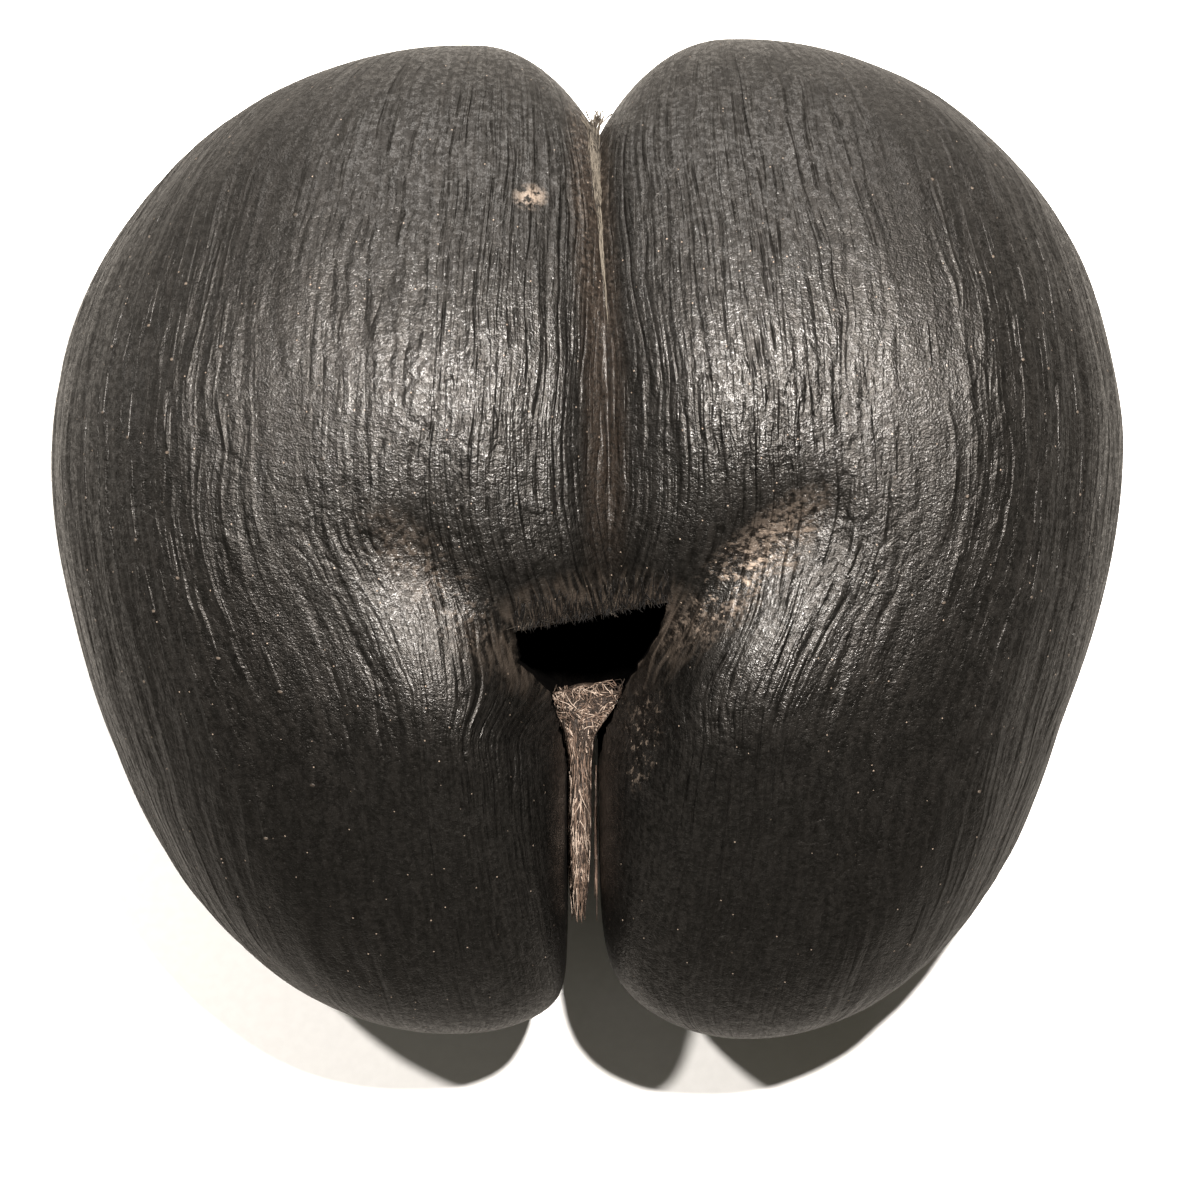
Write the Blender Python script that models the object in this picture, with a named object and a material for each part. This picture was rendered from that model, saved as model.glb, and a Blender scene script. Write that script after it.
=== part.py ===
"""Coco de mer: the two-lobed nut of the double coconut palm, lying on its back.

Units are metres and +Z is up. The stem end points to +Y, the two tips to -Y, and the belly with its sprout
opening to +Z. The origin is on the surface that the nut lies on, under the middle of the nut's box.

Each lobe is a unit sphere with its poles on Y, moved point by point on to the lobe's skin. Its meridians run
from the stem end to the tip, as the fibres of the shell do. The two lobes are then joined into one shell.
"""

import math
import random
from dataclasses import dataclass

import bmesh
import bpy
from mathutils import Matrix, Vector, noise


@dataclass(frozen=True)
class Lobe:
    """One lobe seen from above. A pair is (distance from the middle plane, place along Y)."""

    side: int
    stem_pole: tuple
    widest: tuple
    tip: tuple
    slit_wall: float
    thigh: tuple
    crease_start: tuple
    crease_end: tuple


@dataclass(frozen=True)
class Swell:
    """A broad rise of the front, or a hollow where the height is negative."""

    radius: tuple
    height: float


@dataclass(frozen=True)
class TuftSection:
    """An upright oval slice of the husk fibre: its place along Y, then its sides in X and in Z."""

    along: float
    left: float
    right: float
    back: float
    front: float


LEFT = Lobe(
    side=-1,
    stem_pole=(0.033, 0.1397),
    widest=(0.150, 0.016),
    tip=(0.038, -0.1400),
    slit_wall=0.0052,
    thigh=(0.034, -0.050),
    crease_start=(0.017, -0.031),
    crease_end=(0.058, 0.004),
)
RIGHT = Lobe(
    side=1,
    stem_pole=(0.042, 0.1414),
    widest=(0.1495, 0.026),
    tip=(0.046, -0.1414),
    slit_wall=0.0030,
    thigh=(0.038, -0.047),
    crease_start=(0.019, -0.021),
    crease_end=(0.068, 0.013),
)

# Outline seen from above: how far each lobe's middle line bows out, and the hollow of the flank by the tip
SPINE_BOW = 0.010
FLANK_HOLLOW = 0.055
FLANK_PLACE = -0.62
FLANK_SPREAD = 0.36

# Thickness of the nut. The taper starts at a share of the way from the stem end to the tip.
SPINE_HEIGHT_STEM = 0.0808
SPINE_HEIGHT_TIP = 0.0686
SPINE_FALL_START = 0.3
FRONT_RISE = 0.080
BACK_DROP = 0.0805
BACK_FLATNESS = 0.75
TIP_TAPER = 0.12
TIP_TAPER_START = 0.4

# How the lobes meet: fused above the crotch, parted by a slit below it
FUSED_OVERLAP = 0.014
CROTCH_FUSED, CROTCH_PARTED = -0.036, -0.056
INNER_REACH_STEM = 0.062
INNER_REACH_TIP = 0.095

# The groove between the lobes leans to the right on its way down to the sprout opening
GROOVE_SHIFT = 0.0052
GROOVE_LEAN_START, GROOVE_LEAN_END = 0.130, 0.020
GROOVE_RETURN_START, GROOVE_RETURN_END = -0.015, -0.055
GROOVE_REACH = 0.050

# Squareness of a lobe's cross-section in its four quarters, where 2 is round
FRONT_INNER, FRONT_OUTER, BACK_INNER, BACK_OUTER = 3.6, 2.1, 2.5, 2.2

# Relief of the front, with the centre of the belly and of the hollow at the crotch
BELLY = Swell(radius=(0.034, 0.042), height=0.007)
BELLY_CENTRE = (0.037, 0.040)
THIGH = Swell(radius=(0.030, 0.032), height=0.013)
CROTCH_HOLLOW = Swell(radius=(0.021, 0.020), height=-0.040)
CROTCH_CENTRE = (0.000, -0.040)
CREASE_DEPTH = 0.0075
CREASE_RADIUS = 0.0115
RELIEF_FADE = 0.9

# Facets of one lobe. The parallels are crowded round the latitude of the crotch, where the relief is finest.
MERIDIANS = 84
PARALLELS = 35
CROWDING = 0.60
CROWDED_LATITUDE = math.radians(-13)
SMALLEST_RING = 1e-6

# Fibre ribs, coarser than the real ones, one to every two facets. They rise and fall with broader waves, and
# fade out towards the poles, on the slit's walls and where the nut rests.
RIBS_AROUND = MERIDIANS // 2
RIB_HEIGHT = 0.0005
WAVE_HEIGHT = 0.0020
WAVES_AROUND = 30.0
WAVE_DRIFT = 2.2
LOBE_NOISE_STEP = 10
RIB_POLE_FADE = 0.85
RIB_WALL_FADE = -0.7
RIB_REST_EDGE, RIB_REST_FADE = -0.97, -0.88

# Sprout opening: its outline from above, and the height and size of each section down into the nut
OPENING_MIDDLE = Vector((-0.0005, -0.0310))
OPENING_OUTLINE = (
    (-0.0185, -0.0245), (0.0020, -0.0210), (0.0220, -0.0165), (0.0190, -0.0270), (0.0115, -0.0385),
    (0.0085, -0.0460), (0.0055, -0.0530), (0.0032, -0.0620), (-0.0054, -0.0620), (-0.0066, -0.0560),
    (-0.0080, -0.0490), (-0.0098, -0.0416), (-0.0180, -0.0330),
)
OPENING_SECTIONS = ((0.190, 1.00), (0.082, 1.00), (0.066, 0.86), (0.052, 0.50))

# Husk fibre in the slit
TUFT_SECTIONS = (
    TuftSection(-0.0395, -0.0076, 0.0084, 0.0850, 0.0890),
    TuftSection(-0.0440, -0.0078, 0.0080, 0.0840, 0.0930),
    TuftSection(-0.0525, -0.0060, 0.0044, 0.0830, 0.0945),
    TuftSection(-0.0620, -0.0043, 0.0020, 0.0700, 0.0945),
    TuftSection(-0.0800, -0.0043, 0.0020, 0.0640, 0.0940),
    TuftSection(-0.0950, -0.0041, 0.0016, 0.0680, 0.0920),
    TuftSection(-0.1030, -0.0030, -0.0002, 0.0800, 0.0870),
)
TUFT_CORNERS = 12
TUFT_SQUARENESS = 0.6
STRANDS = 56
STRANDS_TO_OPENING = 14
STRAND_LENGTH = (0.008, 0.018)
STRAND_END = -0.1075
STRAND_RADIUS_ROOT, STRAND_RADIUS_TIP = 0.00060, 0.00032
STRAND_SINK = 0.0014
STRAND_MARGIN = 0.0009
STRAND_SIDES = 4
STRAND_STEPS = 5
STRAND_SEED = 7

# How a strand leaves the core, and how it turns and droops at each step
STRAND_INSET = 0.4
STRAND_TURN = 0.35
STRAND_LIFT = 0.35
STRAND_WANDER = 0.25
STRAND_DROOP = 0.18

SHELL_COLOUR = (0.030, 0.028, 0.027)
SHELL_ROUGHNESS = 0.38
FIBRE_COLOUR = (0.290, 0.200, 0.130)
FIBRE_ROUGHNESS = 0.85


def mix(low, high, share):
    return low + (high - low) * share


def smoothstep(start, end, value):
    share = min(1.0, max(0.0, (value - start) / (end - start)))
    return share * share * (3 - 2 * share)


def soft_least(first, second, sharpness=8):
    """The smaller of two lengths, rounded over where they are alike."""
    if first <= 0 or second <= 0:
        return 0.0
    return (first**-sharpness + second**-sharpness) ** (-1 / sharpness)


def swell_height(swell, centre, off_middle, along):
    across_share = (off_middle - centre[0]) / swell.radius[0]
    along_share = (along - centre[1]) / swell.radius[1]
    return swell.height * math.exp(-across_share**2 - along_share**2)


def crease_height(lobe, off_middle, along):
    """The valley between belly and thigh, deepest at the sprout opening and running out towards the flank."""
    start = Vector(lobe.crease_start)
    line = Vector(lobe.crease_end) - start
    place = Vector((off_middle, along)) - start
    share = min(1.0, max(0.0, place.dot(line) / line.length_squared))
    distance = (place - line * share).length
    return -CREASE_DEPTH * (1 - share * share) * math.exp(-((distance / CREASE_RADIUS) ** 2))


def front_relief(lobe, off_middle, along):
    swells = ((BELLY, BELLY_CENTRE), (THIGH, lobe.thigh), (CROTCH_HOLLOW, CROTCH_CENTRE))
    rises = (swell_height(swell, centre, off_middle, along) for swell, centre in swells)
    return sum(rises) + crease_height(lobe, off_middle, along)


def section_radius(outward, front):
    """How far a rounded-square cross-section stands out along a direction, compared with a circle."""
    toward_out, toward_front = (1 + outward) / 2, (1 + front) / 2
    power = mix(
        mix(BACK_INNER, BACK_OUTER, toward_out),
        mix(FRONT_INNER, FRONT_OUTER, toward_out),
        toward_front,
    )
    return (abs(outward) ** power + abs(front) ** power) ** (-1 / power)


def rib_height(lobe, outward, front, pole_share):
    """Raised lines that follow the meridians, on waves that wander a little on their way."""
    turn = Vector((outward, front, 0)) * WAVES_AROUND / math.tau
    turn.z = pole_share * WAVE_DRIFT + lobe.side * LOBE_NOISE_STEP
    fade = smoothstep(1.0, RIB_POLE_FADE, abs(pole_share))
    fade *= smoothstep(-1.0, RIB_WALL_FADE, outward) * smoothstep(RIB_REST_EDGE, RIB_REST_FADE, front)
    ribs = RIB_HEIGHT * math.cos(RIBS_AROUND * math.atan2(front, outward))
    return fade * (ribs + WAVE_HEIGHT * noise.noise(turn))


def groove_shift(across, along):
    """How far to the right a point near the groove is pushed."""
    lean = smoothstep(GROOVE_LEAN_START, GROOVE_LEAN_END, along)
    lean *= smoothstep(GROOVE_RETURN_END, GROOVE_RETURN_START, along)
    return GROOVE_SHIFT * lean / (1 + (across / GROOVE_REACH) ** 2)


def lobe_point(lobe, direction):
    """Where a point of the unit sphere lies on the lobe's skin."""
    pole_share = max(-1.0, min(1.0, direction.y))
    ring = math.sqrt(1 - pole_share**2)
    half = lobe.stem_pole[1] - lobe.widest[1] if pole_share > 0 else lobe.widest[1] - lobe.tip[1]
    along = lobe.widest[1] + half * pole_share
    toward_tip = (lobe.stem_pole[1] - along) / (lobe.stem_pole[1] - lobe.tip[1])

    spine = mix(lobe.stem_pole[0], lobe.tip[0], smoothstep(0, 1, toward_tip))
    spine += SPINE_BOW * 4 * toward_tip * (1 - toward_tip)
    spine_fall = smoothstep(SPINE_FALL_START, 1, toward_tip)
    spine_height = mix(SPINE_HEIGHT_STEM, SPINE_HEIGHT_TIP, spine_fall)
    if ring < SMALLEST_RING:
        return Vector((lobe.side * spine, along, spine_height))

    flank = FLANK_HOLLOW * math.exp(-(((pole_share - FLANK_PLACE) / FLANK_SPREAD) ** 2))
    outer = (lobe.widest[0] - spine) * ring * (1 - flank)
    parted = smoothstep(CROTCH_FUSED, CROTCH_PARTED, along)
    inner_limit = spine + mix(FUSED_OVERLAP, -lobe.slit_wall, parted)
    inner = soft_least(inner_limit, mix(INNER_REACH_STEM, INNER_REACH_TIP, toward_tip) * ring)
    taper = 1 - TIP_TAPER * smoothstep(TIP_TAPER_START, 1, toward_tip)
    rise = FRONT_RISE * ring * taper
    drop = BACK_DROP * ring**BACK_FLATNESS * taper

    outward, front = lobe.side * direction.x / ring, direction.z / ring
    radius = section_radius(outward, front)
    radius *= 1 + rib_height(lobe, outward, front, pole_share) / rise
    off_middle = spine + radius * outward * (outer if outward > 0 else inner)
    height = spine_height + radius * front * (rise if front > 0 else drop)
    height += front_relief(lobe, off_middle, along) * smoothstep(0, RELIEF_FADE, front)
    across = lobe.side * off_middle
    return Vector((across + groove_shift(across, along), along, height))


def principled(name, colour, roughness):
    material = bpy.data.materials.new(name)
    material.use_nodes = True
    shader = material.node_tree.nodes["Principled BSDF"]
    shader.inputs["Base Color"].default_value = (*colour, 1)
    shader.inputs["Roughness"].default_value = roughness
    shader.inputs["Metallic"].default_value = 0
    return material


def object_from(name, form, parent=None, helper=False):
    """An object made from a bmesh. A helper only cuts or joins, and isn't a piece of the nut."""
    mesh = bpy.data.meshes.new(name)
    bmesh.ops.recalc_face_normals(form, faces=form.faces)
    form.to_mesh(mesh)
    form.free()
    mesh.shade_smooth()
    made = bpy.data.objects.new(name, mesh)
    bpy.context.scene.collection.objects.link(made)
    made.parent = parent
    made.hide_render = helper
    made.display_type = "WIRE" if helper else "TEXTURED"
    return made


def add_boolean(target, operation, other):
    modifier = target.modifiers.new(f"{operation.title()} {other.name}", "BOOLEAN")
    modifier.operation = operation
    modifier.solver = "EXACT"
    modifier.object = other


def loft(rings):
    """A closed form through rings of corners, all with the same count."""
    form = bmesh.new()
    loops = [[form.verts.new(corner) for corner in ring] for ring in rings]
    for first, second in zip(loops, loops[1:]):
        for k in range(len(first)):
            form.faces.new((first[k - 1], first[k], second[k], second[k - 1]))
    form.faces.new(loops[0])
    form.faces.new(loops[-1])
    bmesh.ops.triangulate(form, faces=form.faces)
    return form


def crowded(direction):
    """Moves a point of the unit sphere along its meridian, towards the crowded latitude."""
    latitude = math.asin(max(-1.0, min(1.0, direction.y)))
    latitude -= CROWDING * (latitude - CROWDED_LATITUDE) * math.cos(latitude) ** 2
    ring = Vector((direction.x, 0, direction.z))
    if ring.length < SMALLEST_RING:
        return direction
    return ring.normalized() * math.cos(latitude) + Vector((0, math.sin(latitude), 0))


def lobe_form(lobe):
    form = bmesh.new()
    poles_on_y = Matrix.Rotation(-math.pi / 2, 4, "X")
    bmesh.ops.create_uvsphere(
        form, u_segments=MERIDIANS, v_segments=PARALLELS, radius=1, matrix=poles_on_y
    )
    for vertex in form.verts:
        vertex.co = lobe_point(lobe, crowded(vertex.co))
    bmesh.ops.triangulate(form, faces=form.faces)
    return form


def opening_form():
    """The sprout opening as a solid to cut away, narrowing as it goes down into the nut."""
    rings = []
    for height, size in OPENING_SECTIONS:
        corners = (OPENING_MIDDLE + (Vector(corner) - OPENING_MIDDLE) * size for corner in OPENING_OUTLINE)
        rings.append([(corner.x, corner.y, height) for corner in corners])
    return loft(rings)


def floor_form():
    """Everything below the surface that the nut lies on. It takes a small flat off the back of each lobe."""
    form = bmesh.new()
    bmesh.ops.create_cube(form, size=1, matrix=Matrix.Translation((0, 0, -0.5)))
    return form


def tuft_section(along):
    """The slice of the tuft's core at any place along Y."""
    along = min(TUFT_SECTIONS[0].along, max(TUFT_SECTIONS[-1].along, along))
    for first, second in zip(TUFT_SECTIONS, TUFT_SECTIONS[1:]):
        if along >= second.along:
            break
    share = (along - first.along) / (second.along - first.along)
    return TuftSection(
        along,
        mix(first.left, second.left, share),
        mix(first.right, second.right, share),
        mix(first.back, second.back, share),
        mix(first.front, second.front, share),
    )


def squared(value):
    """Pushes the corners of an oval out towards those of its box."""
    return math.copysign(abs(value) ** TUFT_SQUARENESS, value)


def tuft_core_form():
    rings = []
    for section in TUFT_SECTIONS:
        across_middle, middle_height = (section.left + section.right) / 2, (section.back + section.front) / 2
        middle = Vector((across_middle, section.along, middle_height))
        half_width, half_height = section.right - middle.x, section.front - middle.z
        ring = []
        for k in range(TUFT_CORNERS):
            turn = math.tau * k / TUFT_CORNERS
            across = half_width * squared(math.cos(turn))
            ring.append(middle + Vector((across, 0, half_height * squared(math.sin(turn)))))
        rings.append(ring)
    return loft(rings)


def strand_line(rng, toward):
    """Centre line of one strand, from its root in the core to its tip. It rises out and then lies down."""
    first, last = TUFT_SECTIONS[1].along, TUFT_SECTIONS[-1].along
    along = rng.uniform(first, last) if toward < 0 else rng.uniform(first, TUFT_SECTIONS[2].along)
    section = tuft_section(along)
    middle = (section.left + section.right) / 2
    across = rng.uniform(mix(section.left, middle, STRAND_INSET), mix(section.right, middle, STRAND_INSET))
    longest = along - STRAND_END if toward < 0 else STRAND_LENGTH[0]
    step = min(longest, rng.uniform(*STRAND_LENGTH)) / STRAND_STEPS
    heading = Vector((rng.uniform(-STRAND_TURN, STRAND_TURN), toward, STRAND_LIFT))
    point = Vector((across, along, section.front - STRAND_SINK))
    line = [point]
    for _ in range(STRAND_STEPS):
        point = point + heading.normalized() * step
        section = tuft_section(point.y)
        point.x = min(section.right - STRAND_MARGIN, max(section.left + STRAND_MARGIN, point.x))
        line.append(point)
        heading += Vector((rng.uniform(-STRAND_WANDER, STRAND_WANDER), 0, -STRAND_DROOP))
    return line


def strand_form(line):
    rings = []
    for k, point in enumerate(line):
        before, after = line[max(0, k - 1)], line[min(len(line) - 1, k + 1)]
        turn = (after - before).to_track_quat("Z", "Y").to_matrix()
        radius = mix(STRAND_RADIUS_ROOT, STRAND_RADIUS_TIP, k / (len(line) - 1))
        angles = [math.tau * (side + 0.5) / STRAND_SIDES for side in range(STRAND_SIDES)]
        rings.append([point + turn @ Vector((math.cos(a), math.sin(a), 0)) * radius for a in angles])
    return loft(rings)


def linked_from(vertex):
    """Every vertex that edges join to this one."""
    found, waiting = {vertex}, [vertex]
    while waiting:
        for edge in waiting.pop().link_edges:
            for other in edge.verts:
                if other not in found:
                    found.add(other)
                    waiting.append(other)
    return found


def keep_outer_skin(mesh):
    """Fill the pockets that crossing strands close off, by removing every skin but the largest."""
    form = bmesh.new()
    form.from_mesh(mesh)
    skins, left = [], set(form.verts)
    while left:
        skins.append(linked_from(next(iter(left))))
        left -= skins[-1]
    skins.sort(key=len)
    for skin in skins[:-1]:
        bmesh.ops.delete(form, geom=list(skin), context="VERTS")
    form.to_mesh(mesh)
    form.free()


def fuse(target, parts):
    """Join parts into the target as one solid, then remove them."""
    joined = bpy.data.collections.new("strands")
    for part in parts:
        joined.objects.link(part)
    modifier = target.modifiers.new("Join strands", "BOOLEAN")
    modifier.operation = "UNION"
    modifier.solver = "MANIFOLD"
    modifier.operand_type = "COLLECTION"
    modifier.collection = joined
    bpy.context.view_layer.update()
    evaluated = target.evaluated_get(bpy.context.evaluated_depsgraph_get())
    mesh = bpy.data.meshes.new_from_object(evaluated)
    keep_outer_skin(mesh)
    target.modifiers.clear()
    target.data = mesh
    for part in parts:
        bpy.data.objects.remove(part)
    bpy.data.collections.remove(joined)


def build_shell(nut):
    shell = object_from("nut_shell", lobe_form(LEFT), nut)
    shell.data.materials.append(principled("dark_shell", SHELL_COLOUR, SHELL_ROUGHNESS))
    add_boolean(shell, "UNION", object_from("right_lobe", lobe_form(RIGHT), nut, helper=True))
    add_boolean(shell, "DIFFERENCE", object_from("sprout_opening", opening_form(), nut, helper=True))
    add_boolean(shell, "DIFFERENCE", object_from("floor_cut", floor_form(), nut, helper=True))


def build_tuft(nut):
    tuft = object_from("fibre_tuft", tuft_core_form(), nut)
    rng = random.Random(STRAND_SEED)
    directions = [1] * STRANDS_TO_OPENING + [-1] * (STRANDS - STRANDS_TO_OPENING)
    strands = []
    for k, toward in enumerate(directions):
        strands.append(object_from(f"strand_{k}", strand_form(strand_line(rng, toward))))
    fuse(tuft, strands)
    tuft.data.materials.append(principled("husk_fibre", FIBRE_COLOUR, FIBRE_ROUGHNESS))


def build():
    for old in list(bpy.data.objects):
        bpy.data.objects.remove(old)
    nut = bpy.data.objects.new("nut", None)
    bpy.context.scene.collection.objects.link(nut)
    build_shell(nut)
    build_tuft(nut)


build()
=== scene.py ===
"""Coco de mer nut: its visible surfaces, its husk fibre and the pale surface it lies on.

Units are metres and +Z is up. The stem end points to +Y, the two tips to -Y, and the belly to +Z.
"""

import math
import random
from dataclasses import dataclass

import bmesh
import bpy
from bpy.props import FloatProperty, FloatVectorProperty, IntProperty, PointerProperty
from mathutils import Matrix, Vector, noise


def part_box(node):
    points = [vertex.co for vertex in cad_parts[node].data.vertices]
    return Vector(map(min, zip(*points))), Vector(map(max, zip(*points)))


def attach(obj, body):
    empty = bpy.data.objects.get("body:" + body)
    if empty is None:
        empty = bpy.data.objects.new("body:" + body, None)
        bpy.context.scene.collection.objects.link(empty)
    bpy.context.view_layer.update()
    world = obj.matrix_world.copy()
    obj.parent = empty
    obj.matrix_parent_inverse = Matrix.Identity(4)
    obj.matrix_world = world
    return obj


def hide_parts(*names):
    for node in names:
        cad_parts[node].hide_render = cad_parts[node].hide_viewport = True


bl_info = {
    "name": "Coco de Mer Nut",
    "version": (1, 0, 0),
    "blender": (4, 5, 0),
    "location": "3D View > Sidebar > Nut",
    "description": "Builds a two-lobed palm nut with a ribbed shell and husk fibre",
    "category": "Object",
}

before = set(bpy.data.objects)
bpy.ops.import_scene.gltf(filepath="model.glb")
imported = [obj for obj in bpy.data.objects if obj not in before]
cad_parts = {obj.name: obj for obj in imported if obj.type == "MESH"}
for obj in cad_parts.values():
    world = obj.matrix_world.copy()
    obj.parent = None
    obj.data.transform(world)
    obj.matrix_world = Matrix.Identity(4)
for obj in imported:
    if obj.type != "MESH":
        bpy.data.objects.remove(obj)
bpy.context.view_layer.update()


@dataclass(frozen=True)
class Lobe:
    """One lobe seen from above. A pair is (distance from the middle plane, place along Y)."""

    side: int
    stem_pole: tuple
    widest: tuple
    tip: tuple
    slit_wall: float
    thigh: tuple
    crease_start: tuple
    crease_end: tuple


@dataclass(frozen=True)
class Swell:
    """A broad rise of the front, or a hollow where the height is negative."""

    radius: tuple
    height: float


@dataclass(frozen=True)
class TuftSection:
    """An upright oval slice of the husk fibre: its place along Y, then its sides in X and in Z."""

    along: float
    left: float
    right: float
    back: float
    front: float


@dataclass(frozen=True)
class Strand:
    """How one group of husk strands grows. Angles are turned from -Y, and counts are of strands."""

    count: int
    roots: tuple
    length: tuple
    spread: float
    lift: float
    wander: float
    radius: tuple
    shade: tuple
    across: tuple = ()


LEFT = Lobe(
    side=-1,
    stem_pole=(0.033, 0.1397),
    widest=(0.150, 0.016),
    tip=(0.038, -0.1400),
    slit_wall=0.0052,
    thigh=(0.034, -0.050),
    crease_start=(0.017, -0.031),
    crease_end=(0.058, 0.004),
)
RIGHT = Lobe(
    side=1,
    stem_pole=(0.042, 0.1414),
    widest=(0.1495, 0.026),
    tip=(0.046, -0.1414),
    slit_wall=0.0030,
    thigh=(0.038, -0.047),
    crease_start=(0.019, -0.021),
    crease_end=(0.068, 0.013),
)

# Outline seen from above: how far each lobe's middle line bows out, and the hollow of the flank by the tip
SPINE_BOW = 0.010
FLANK_HOLLOW = 0.055
FLANK_PLACE = -0.62
FLANK_SPREAD = 0.36

# Thickness of the nut. The taper starts at a share of the way from the stem end to the tip.
SPINE_HEIGHT_STEM = 0.0808
SPINE_HEIGHT_TIP = 0.0686
SPINE_FALL_START = 0.3
FRONT_RISE = 0.080
BACK_DROP = 0.0805
BACK_FLATNESS = 0.75
TIP_TAPER = 0.12
TIP_TAPER_START = 0.4

# How the lobes meet: fused above the crotch, parted by a slit below it
FUSED_OVERLAP = 0.014
CROTCH_FUSED, CROTCH_PARTED = -0.036, -0.056
INNER_REACH_STEM = 0.062
INNER_REACH_TIP = 0.095

# The groove between the lobes leans to the right on its way down to the sprout opening
GROOVE_SHIFT = 0.0052
GROOVE_LEAN_START, GROOVE_LEAN_END = 0.130, 0.020
GROOVE_RETURN_START, GROOVE_RETURN_END = -0.015, -0.055
GROOVE_REACH = 0.050

# Squareness of a lobe's cross-section in its four quarters, where 2 is round
FRONT_INNER, FRONT_OUTER, BACK_INNER, BACK_OUTER = 3.6, 2.1, 2.5, 2.2

# Relief of the front, with the centre of the belly and of the hollow at the crotch
BELLY = Swell(radius=(0.034, 0.042), height=0.007)
BELLY_CENTRE = (0.037, 0.040)
THIGH = Swell(radius=(0.030, 0.032), height=0.013)
CROTCH_HOLLOW = Swell(radius=(0.021, 0.020), height=-0.040)
CROTCH_CENTRE = (0.000, -0.040)
CREASE_DEPTH = 0.0075
CREASE_RADIUS = 0.0115
RELIEF_FADE = 0.9

# Broad waves round each lobe, and where they fade out
WAVES_AROUND = 30.0
WAVE_DRIFT = 2.2
POLE_FADE = 0.85
WALL_FADE = -0.7
REST_FADE = -0.88

# The skin is calmer by the slit: fully where the distance from the middle plane is under the first value
CALM_START, CALM_END = 0.008, 0.022

# A lobe's girth in grain coordinates is the angle round it times this radius. It shrinks slowly towards the poles.
GRAIN_RADIUS = 0.075
GRAIN_MAP = "Grain"
POLE_SPREAD = 0.5
CORD_SPACING, CORD_LENGTH = 0.0055, 0.050

# Below the creases the grain sweeps towards the slit
SWEEP = 0.018
SWEEP_START, SWEEP_END = 0.014, -0.060
SWEEP_OUTER, SWEEP_INNER = math.radians(10), math.radians(105)
CROWDING = 0.45
CROWDED_LATITUDE = math.radians(-13)

# Sprout opening: its outline from above, and the height and size of each section down into the nut
OPENING_MIDDLE = Vector((-0.0005, -0.0310))
OPENING_OUTLINE = (
    (-0.0185, -0.0245), (0.0020, -0.0210), (0.0220, -0.0165), (0.0190, -0.0270), (0.0115, -0.0385),
    (0.0085, -0.0460), (0.0055, -0.0530), (0.0032, -0.0620), (-0.0054, -0.0620), (-0.0066, -0.0560),
    (-0.0080, -0.0490), (-0.0098, -0.0416), (-0.0180, -0.0330),
)
OPENING_SECTIONS = ((0.190, 1.00), (0.082, 1.00), (0.066, 0.86), (0.052, 0.50))
OPENING_CUTS = 6
OPENING_RAGGED = 0.0007
OPENING_GRAIN = 700
OPENING_SLICE = Vector((0, 0, 31.5))

# Stage
LIGHT_COLOUR = (1.0, 0.955, 0.91)

# Husk fibre in the slit
TUFT_SECTIONS = (
    TuftSection(-0.0395, -0.0096, 0.0104, 0.0850, 0.0890),
    TuftSection(-0.0440, -0.0092, 0.0090, 0.0840, 0.0930),
    TuftSection(-0.0490, -0.0078, 0.0056, 0.0835, 0.0940),
    TuftSection(-0.0540, -0.0062, 0.0018, 0.0800, 0.0945),
    TuftSection(-0.0620, -0.0050, 0.0010, 0.0700, 0.0940),
    TuftSection(-0.0800, -0.0050, 0.0010, 0.0640, 0.0935),
    TuftSection(-0.0950, -0.0048, 0.0004, 0.0680, 0.0915),
    TuftSection(-0.1030, -0.0040, -0.0006, 0.0800, 0.0870),
)
TUFT_SQUARENESS = 0.6
TUFT_TOP_LEFT, TUFT_TOP_RIGHT, TUFT_END = -0.0422, -0.0378, -0.1070
TUFT_TOP_RAGGED = 0.0006
TUFT_END_RAGGED = 0.0120
MAT = Strand(640, (-0.0580, -0.0400), (0.004, 0.009), 3.1, 0.15, 1.3, (0.00018, 0.00008), (-0.3, 1.1))
LONG = Strand(380, (-0.0980, -0.0480), (0.008, 0.024), 0.20, 0.25, 0.35, (0.00028, 0.00008), (-0.6, 0.85))
STRAY = Strand(22, (-0.0960, -0.0600), (0.010, 0.018), 0.30, 0.8, 0.6, (0.00018, 0.00007), (0.8, 1.0))
WALL = Strand(16, (-0.0900, -0.0600), (0.012, 0.022), 0.02, 0.0, 0.05, (0.00022, 0.00010), (0.2, 0.6), (0.0024, 0.0029))
STRAND_SIDES = 4
STRAND_STEPS = 7
STRAND_SHORTEST = 0.002
# The packed core takes the darkest tone: painted shade in the gaps between the strands
CORE_PAINTED_SHADE = 0.02

# Fibres along the groove: how many, where they start and end along Y, and how far they sit from its middle
SEAM = Strand(150, (0.062, 0.1195), (0.006, 0.018), 0.0, 0.0, 0.0, (0.00022, 0.00008), (0.6, 1.3))
SEAM_OFFSET = 0.0018
SEAM_NOTCH = 0.1125
SEAM_FAN = 0.0040
SEAM_SAG = 0.5
SEAM_FLOOR = 0.105
SEAM_SPREAD_TOP, SEAM_SPREAD_LOW = 0.0012, 0.0003
SEAM_RISE = 0.0006
SEAM_STEP_BACK = 0.0005

# Fibres along the upper edge of the sprout opening: how far above it they start, and how far they pass it
RIM = Strand(230, (0.000, 0.009), (-0.001, 0.0012), 0.0, 0.0, 0.0, (0.00013, 0.00006), (-0.7, 0.5))
RIM_SLANT = 0.0012
CLINGING_COLOURS = ((0.0020, 0.0014, 0.0010), (0.018, 0.014, 0.010), (0.075, 0.064, 0.050))
RIM_CORNERS = OPENING_OUTLINE[:3]
RIM_SAFE = 0.0016
RIM_RISE = 0.0002


# Shared arithmetic of the lobes


def mix(low, high, share):
    return low + (high - low) * share


def smoothstep(start, end, value):
    share = min(1.0, max(0.0, (value - start) / (end - start)))
    return share * share * (3 - 2 * share)


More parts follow.
